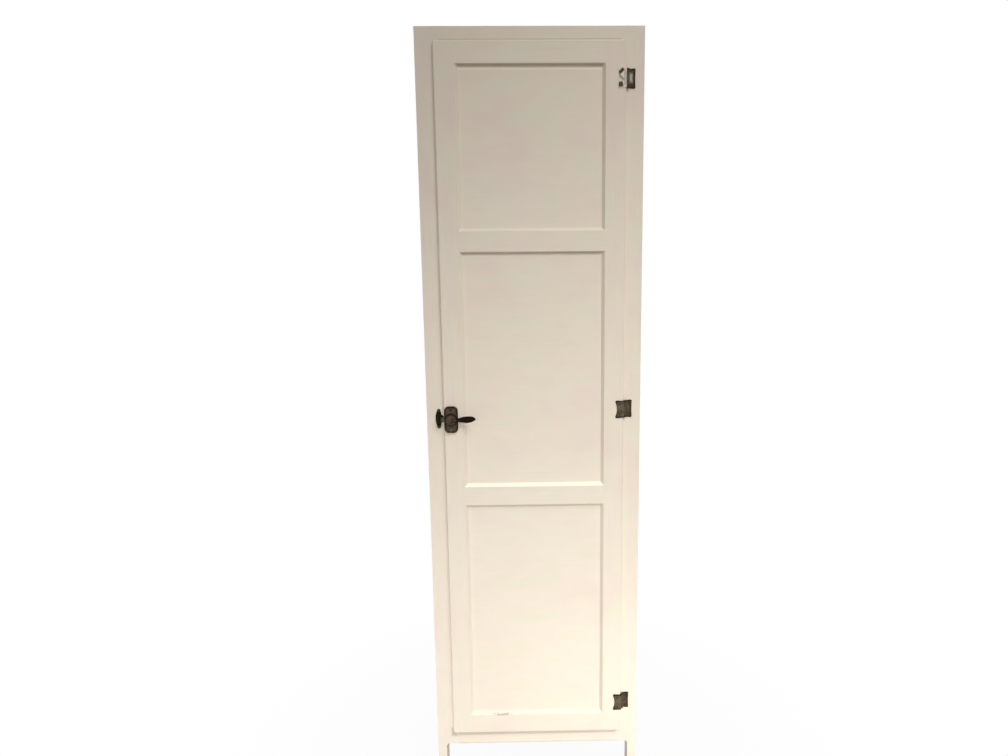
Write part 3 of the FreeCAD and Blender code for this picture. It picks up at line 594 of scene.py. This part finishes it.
def bronze(name, settings, tone=None, rubbed=0.0, rims=(), shade_and_dark=None, painted=None):
    """Dark plated casting, darkest along its edges. rubbed is how much the handled edges shine, rims
    are boxes whose outlines are dark, and a further function works out painted shade and more dark places.
    painted
    is a colour and two lists of Flecks: where old paint of that colour covers it and where that has come
    off."""
    metal = Finish(name)
    cloud = metal.noise(0.009, detail=3, roughness=0.6)
    grit = metal.noise(0.0011, detail=3, roughness=0.65)
    pits = metal.noise(0.0023)
    edge = metal.edge(0.0018)
    film = metal.larger(metal.rise(cloud + (grit - 0.5) * 0.4, 0.38, 0.75) * 0.55, edge * 0.8)
    if rims:
        film = metal.larger(film, metal.rim(rims, HINGE_RIM_REACH) * (0.8 + 0.6 * cloud))
    # Painted shade, worked out by the function given for it, darkens the plating here along with the patina
    if shade_and_dark is not None:
        film = metal.larger(film, shade_and_dark(metal))
    colour = metal.blend(tone or settings.bronze, settings.patina, film)
    rub = metal.edge(0.0006) * metal.rise(cloud + (grit - 0.5) * 0.6, 0.40, 0.62) * rubbed
    colour = metal.blend(colour, settings.rubbed, rub)
    gloss = 0.42 + cloud * 0.16 + grit * 0.16 - rub * 0.1
    height = pits * 0.00010 + grit * 0.00004
    metallic = 0.55
    if painted is not None:
        coat, patches, chips = painted
        ragged = (pits - 0.5) * 0.5
        cover = 0.0
        for patch in patches:
            cover = metal.larger(cover, metal.fleck(patch, ragged * 0.4))
        for chip in chips:
            cover = cover * (1 - metal.fleck(chip, ragged))
        colour = metal.blend(colour, coat, cover)
        metallic = metallic * (1 - cover)
        height = height + cover * 0.0002
    return metal.surface(colour, gloss, height, metallic, gleam=0.2)


def steel(name, settings, rusty=0.5):
    """Screws, pins and the spring."""
    metal = Finish(name)
    cloud = metal.noise(0.004, detail=3, roughness=0.6)
    grit = metal.noise(0.0007, roughness=0.6)
    rust = metal.rise(cloud + (grit - 0.5) * 0.5, 0.62 - 0.25 * rusty, 0.78 - 0.2 * rusty)
    tone = metal.blend(settings.steel, settings.rust, rust)
    tone = metal.blend(tone, settings.rubbed, metal.edge(0.0006) * 0.3)
    gloss = 0.34 + rust * 0.4 + grit * 0.1
    return metal.surface(tone, gloss, grit * 0.00003 + rust * 0.00004, metallic=0.9)


# Operators

class CABINET_OT_paint_door(bpy.types.Operator):
    """Paints the door's stiles, rails and panels, with painted shade and painted light round the panels"""

    bl_idname = "cabinet.paint_door"
    bl_label = "Paint the door"

    def execute(self, context):
        settings = context.scene.cabinet_paint
        lines, strips = [], []
        # Painted shade in the bevel over each panel, and painted light in a strip along its top
        for name, dark, pale in zip(DOOR_PANELS, LINE_STRENGTHS, STRIP_STRENGTHS):
            low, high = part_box(name)
            top = high.z - PANEL_LAP
            line_z = top + LINE_UP_BEVEL
            line_low = Vector((low.x + PANEL_LAP, door_low.y + LINE_SET_BACK, line_z - LINE_HALF))
            line_high = Vector((high.x - PANEL_LAP, high.y, line_z + LINE_HALF))
            lines.append(Mark(line_low, line_high, "XYZ", LINE_REACH, dark))
            # A pale strip painted on as light along the top of the panel
            strip_low = Vector((low.x, low.y, top - STRIP_DEPTH))
            strips.append(Mark(strip_low, high, "XZ", STRIP_REACH, pale))
        # Painted highlight on the up-facing ledge under the middle panel
        rail_low, rail_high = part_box("door_rail_lower")
        ledge_low = Vector((rail_low.x, rail_low.y, rail_high.z - BEVEL_WIDTH))
        ledge = Mark(ledge_low, rail_high, "XZ", LEDGE_REACH, LEDGE_STRENGTH)
        chip_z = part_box("door_rail_bottom")[1].z - BEVEL_WIDTH + CHIP_UP
        chip = Chip((CHIP_X, door_low.y, chip_z), CHIP_HALF, CHIP_RAGGED, CHIP_STRENGTH)
        colour = settings.outside
        stiles = paint("door_paint_upright", "Z", settings, colour)
        panels = paint("door_paint_panel", "X", settings, colour, wiped=strips, strokes_share=0.6)
        # The rails carry the painted shade lines and the painted highlight on the ledge
        rails = paint("door_paint_level", "X", settings, colour, lines=lines, chips=[chip], wiped=[ledge])
        give(stiles, *DOOR_STILES)
        give(panels, *DOOR_PANELS)
        give(rails, *DOOR_RAILS)
        return {"FINISHED"}


class CABINET_OT_paint_outside(bpy.types.Operator):
    """Paints the posts, the boards, the face frame, the sides and the back"""

    bl_idname = "cabinet.paint_outside"
    bl_label = "Paint the outside"

    def execute(self, context):
        settings = context.scene.cabinet_paint
        self.paint_face_frame(settings)
        self.paint_sides(settings)
        self.paint_back(settings)
        return {"FINISHED"}

    def paint_face_frame(self, settings):
        """The posts, the top and bottom boards and the face frame, with painted shade and painted light
        round the door.
        """
        left, right = door_low.x, door_high.x
        bottom, top = door_low.z, door_high.z
        beside_door = on_front(left - BESIDE_DOOR, bottom, left + UNDER_DOOR, top)
        above_door = on_front(left, top, right, top + ABOVE_DOOR)
        below_door = on_front(left, bottom - BELOW_DOOR, right, bottom)
        left_corner = on_front(left - CORNER_BESIDE, bottom - BELOW_DOOR,
                               left + UNDER_DOOR, bottom + UNDER_DOOR)
        sill_low, sill_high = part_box("bottom_board")
        sill_high.z = sill_low.z + SILL_HEIGHT
        # Painted light beside the door's left edge lightens the shadow of its lip; painted shade lies above
        # and below the door, in its lower left corner and along the foot of the bottom board
        seam = Mark(door_low, door_high, "XZ", reach=0.0035, strength=0.05)
        brightened = Mark(*beside_door, "XZ", reach=0.001, strength=1.0)
        above = Mark(*above_door, "XYZ", reach=0.0012, strength=0.28)
        below = Mark(*below_door, "XYZ", reach=0.004, strength=0.35)
        corner = Mark(*left_corner, "XYZ", reach=0.007, strength=0.45)
        sill = Mark(sill_low, sill_high, "XYZ", reach=0.0025, strength=0.3)
        upright = paint("case_paint_upright", "Z", settings, settings.outside, creases=[seam],
                        lines=[corner], wiped=[brightened], scuffed=True)
        level = paint("case_paint_level", "X", settings, settings.outside,
                      lines=[above, below, corner, sill])
        posts = ["post_" + place for place in ("front_left", "front_right", "back_left", "back_right")]
        give(upright, *posts, "face_stile_left", "face_stile_right")
        give(level, "face_rail_top", "face_rail_bottom", "top_board", "bottom_board")

    def creases_round(self, panels, axes):
        """Dirt and painted shade along the outline of what shows of some panels."""
        lap = Vector([PANEL_LAP if axis in axes else 0 for axis in "XYZ"])
        creases = []
        for name in panels:
            low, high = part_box(name)
            creases.append(Mark(low + lap, high - lap, axes, CREASE_REACH, CREASE_STRENGTH))
        return creases

    def paint_sides(self, settings):
        """Both sides. The right side's panels lie level with the left's, so they share its creases."""
        creases = self.creases_round(("side_panel_lower_left", "side_panel_upper_left"), "YZ")
        rails = paint("side_paint_level", "Y", settings, settings.outside, creases)
        panels = paint("side_paint_panel", "Z", settings, settings.outside, creases)
        for side in ("_left", "_right"):
            give(rails, *["side_rail_" + place + side for place in ("bottom", "middle", "top")])
            give(panels, "side_panel_lower" + side, "side_panel_upper" + side)

    def paint_back(self, settings):
        """The back's rails and panels."""
        creases = self.creases_round(("back_panel_lower", "back_panel_upper"), "XZ")
        rails = paint("back_paint_level", "X", settings, settings.outside, creases)
        panels = paint("back_paint_panel", "Z", settings, settings.outside, creases)
        give(rails, "back_rail_bottom", "back_rail_middle", "back_rail_top")
        give(panels, "back_panel_lower", "back_panel_upper")


class CABINET_OT_paint_inside(bpy.types.Operator):
    """Paints the shelves and their cleats"""

    bl_idname = "cabinet.paint_inside"
    bl_label = "Paint the inside"

    def execute(self, context):
        settings = context.scene.cabinet_paint
        shelves = ["shelf_" + str(number) for number in range(1, 5)]
        cleats = paint("cleat_paint", "Y", settings, settings.inside)
        give(paint("shelf_paint", "X", settings, settings.inside), *shelves)
        give(cleats, "shelf_cleats_left", "shelf_cleats_right")
        return {"FINISHED"}


class CABINET_OT_finish_hinges(bpy.types.Operator):
    """Plates the hinges and their screws"""

    bl_idname = "cabinet.finish_hinges"
    bl_label = "Finish the hinges"

    def execute(self, context):
        settings = context.scene.cabinet_metal
        old_paint = (context.scene.cabinet_paint.outside, *self.paint_on_top_hinge())
        rims = []
        for place in HINGES:
            left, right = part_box("hinge_door_leaf_" + place)[0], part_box("hinge_frame_leaf_" + place)[1]
            rims.append((left, right))
        faded = bronze("hinge_door_bronze", settings, settings.worn, rims=rims, painted=old_paint)
        dark = bronze("hinge_frame_bronze", settings, settings.bronze, rims=rims, painted=old_paint)
        for place in HINGES:
            give(faded, "hinge_door_leaf_" + place)
            give(dark, "hinge_frame_leaf_" + place)
            give(steel("pin_steel_" + place, settings, 0.6), "hinge_pin_" + place)
        give(faded, "hinge_door_screws")
        give(dark, "hinge_frame_screws")
        return {"FINISHED"}

    def paint_on_top_hinge(self):
        """Where old paint covers the top hinge, and where it is chipped."""
        low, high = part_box("hinge_door_leaf_top")
        pin_low, pin_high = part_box("hinge_pin_top")
        x, z = (pin_low.x + pin_high.x) / 2, (low.z + high.z) / 2
        end = x + LEAF_PAINT_END
        on_leaf = Fleck(((low.x + end) / 2, z), ((end - low.x) / 2, LEAF_PAINT_HALF), 1.0, LEAF_PAINT_BLUR)
        on_frame, *chips = [fleck._replace(place=(x + fleck.place[0], z + fleck.place[1]))
                            for fleck in (FRAME_PAINT, *HINGE_CHIPS)]
        patches = (on_leaf, on_frame)
        return patches, chips


class CABINET_OT_finish_latch(bpy.types.Operator):
    """Plates the latch, its lever and the strike"""

    bl_idname = "cabinet.finish_latch"
    bl_label = "Finish the latch"

    def execute(self, context):
        settings = context.scene.cabinet_metal

        def dark_parts(metal):
            """Painted shade in the crease round the boss and along the case's outline, and dark on the
            lever.
            """
            away = metal.round_from(case_middle)
            crease = metal.rise(abs(away - BOSS_RADIUS - BOSS_CREASE), BOSS_CREASE_REACH, 0.0)
            past_boss = metal.rise(away, BOSS_RADIUS, BOSS_RADIUS + PAST_BOSS)
            outline = metal.rim([(case_low, case_high)], CASE_RIM_REACH) * past_boss
            lever = metal.rise(metal.x - case_high.x, *LEVER_FADE)
            return metal.larger(metal.larger(crease * BOSS_CREASE_STRENGTH, outline), lever)

        def upper_screw(metal):
            """Painted shade darkens the latch's upper screw, so that the lower one alone keeps its pale
            steel tone as a painted highlight.
            """
            return metal.rise(metal.z, case_middle[1] - SCREW_FADE, case_middle[1]) * UPPER_SCREW_SHADE

        give(bronze("latch_bronze", settings, rubbed=0.3, shade_and_dark=dark_parts), "latch_case", "latch_lever")
        give(bronze("bolt_bronze", settings, rubbed=0.5), "latch_bolt")
        give(bronze("strike_bronze", settings, settings.patina, rubbed=0.2), "strike_plate")
        give(steel("inner_steel", settings, 0.2), "latch_pivot_pin", "latch_spring")
        give(bronze("latch_screw_bronze", settings, settings.steel, 0.5, shade_and_dark=upper_screw),
             "latch_screws")
        give(bronze("strike_screw_bronze", settings, rubbed=0.6), "strike_screws")
        return {"FINISHED"}


class CABINET_OT_set_stage(bpy.types.Operator):
    """Lays the floor and sets the lamps and the camera"""

    bl_idname = "cabinet.set_stage"
    bl_label = "Set the stage"

    def execute(self, context):
        scene = context.scene
        settings = scene.cabinet_stage
        self.lay_floor(settings)
        self.light_sky(scene, settings)
        for name, spot in SPOTS.items():
            self.add_spot(name, getattr(settings, name), **spot)
        for side in (-1, 1):
            self.add_softbox("rear", settings.rear, side)
        self.add_camera(scene, settings)
        scene.view_settings.view_transform = "Standard"
        return {"FINISHED"}

    def lay_floor(self, settings):
        """A pale floor that takes shadows and looks white further off."""
        mesh = bpy.data.meshes.new("floor")
        shape = bmesh.new()
        bmesh.ops.create_grid(shape, x_segments=1, y_segments=1, size=FLOOR_SIZE,
                              matrix=Matrix.Translation((0, 0, floor_z)))
        shape.to_mesh(mesh)
        shape.free()
        floor = bpy.data.objects.new("floor", mesh)
        bpy.context.scene.collection.objects.link(floor)
        finish = Finish("floor_paint")
        tone = finish.blend(settings.floor, tinted(settings.floor, FLOOR_TINT), finish.noise(0.6))
        lit = finish.node("ShaderNodeBsdfDiffuse", {}, {"Color": tone})
        glow = finish.node("ShaderNodeEmission", {}, {"Color": (1, 1, 1), "Strength": 1.0})
        ray = finish.node("ShaderNodeLightPath")
        seen = finish.larger(ray.other("Is Camera Ray"), ray.other("Is Glossy Ray"))
        away = finish.node("ShaderNodeVectorMath", {"operation": "LENGTH"}, {0: finish.spot}).other("Value")
        white = FLOOR_WHITE + (1 - FLOOR_WHITE) * finish.rise(away, *FLOOR_FADE)
        both = finish.node("ShaderNodeMixShader", {}, {0: seen * white, 1: lit, 2: glow})
        finish.node("ShaderNodeOutputMaterial", {}, {"Surface": both})
        mesh.materials.append(finish.material)

    def light_sky(self, scene, settings):
        """Even light from all round, seen as plain white."""
        scene.world = bpy.data.worlds.new("sky")
        sky = Nodes(scene.world)
        light = sky.node("ShaderNodeBackground", {}, {"Color": (1, 1, 1), "Strength": settings.sky})
        white = sky.node("ShaderNodeBackground", {}, {"Color": (1, 1, 1), "Strength": 1.0})
        ray = sky.node("ShaderNodeLightPath")
        seen = sky.larger(ray.other("Is Camera Ray"), ray.other("Is Transmission Ray"))
        both = sky.node("ShaderNodeMixShader", {}, {0: seen, 1: light, 2: white})
        sky.node("ShaderNodeOutputWorld", {}, {"Surface": both})

    def add_spot(self, name, power, place, target, cone, radius):
        """A soft-edged spot lamp, with its cone in degrees."""
        data = bpy.data.lights.new(name, "SPOT")
        data.spot_size = math.radians(cone)
        data.spot_blend = 1.0
        data.shadow_soft_size = radius
        self.hang_lamp(data, power, place, target)

    def add_softbox(self, name, power, side):
        """A square soft lamp behind the cabinet, on the left for a side of -1 and on the right for 1."""
        data = bpy.data.lights.new(name, "AREA")
        data.shape = "SQUARE"
        data.size = REAR_SIZE
        self.hang_lamp(data, power, (side * REAR_PLACE[0], *REAR_PLACE[1:]), REAR_TARGET)

    def hang_lamp(self, data, power, place, target):
        """Puts a lamp in its place and turns it to its target."""
        data.energy = power
        lamp = bpy.data.objects.new(data.name, data)
        lamp.location = place
        lamp.rotation_euler = (Vector(target) - Vector(place)).to_track_quat("-Z", "Y").to_euler()
        lamp.visible_camera = False
        bpy.context.scene.collection.objects.link(lamp)

    def add_camera(self, scene, settings):
        """A camera in front of the door, a little below its top."""
        data = bpy.data.cameras.new("camera")
        data.sensor_width = 36
        data.lens = settings.lens
        data.shift_x = settings.shift
        camera = bpy.data.objects.new("camera", data)
        place = Vector((settings.aside, door_low.y - settings.distance, door_high.z - settings.drop))
        turn = (Matrix.Rotation(-settings.yaw, 4, "Z")
                @ Matrix.Rotation(math.pi / 2 - settings.pitch, 4, "X")
                @ Matrix.Rotation(-settings.roll, 4, "Z"))
        camera.matrix_world = Matrix.Translation(place) @ turn
        scene.collection.objects.link(camera)
        scene.camera = camera


class CABINET_PT_panel(bpy.types.Panel):
    """Lists the steps in the order in which they are run"""

    bl_idname = "CABINET_PT_panel"
    bl_label = "Utility cabinet"
    bl_space_type = "VIEW_3D"
    bl_region_type = "UI"
    bl_category = "Cabinet"

    def draw(self, context):
        for step in STEPS:
            self.layout.operator(step.bl_idname)


STEPS = (
    CABINET_OT_set_stage,
    CABINET_OT_paint_door,
    CABINET_OT_paint_outside,
    CABINET_OT_paint_inside,
    CABINET_OT_finish_hinges,
    CABINET_OT_finish_latch,
)
GROUPS = {"cabinet_paint": CabinetPaint, "cabinet_metal": CabinetMetal, "cabinet_stage": CabinetStage}


def register():
    for name, group in GROUPS.items():
        bpy.utils.register_class(group)
        setattr(bpy.types.Scene, name, PointerProperty(type=group))
    for step in STEPS:
        bpy.utils.register_class(step)
    bpy.utils.register_class(CABINET_PT_panel)


def unregister():
    bpy.utils.unregister_class(CABINET_PT_panel)
    for step in reversed(STEPS):
        bpy.utils.unregister_class(step)
    for name, group in GROUPS.items():
        delattr(bpy.types.Scene, name)
        bpy.utils.unregister_class(group)


def main():
    """Registers the classes and runs the operators in order."""
    register()
    for step in STEPS:
        section, name = step.bl_idname.split(".")
        getattr(getattr(bpy.ops, section), name)()


if __name__ == "__main__":
    main()
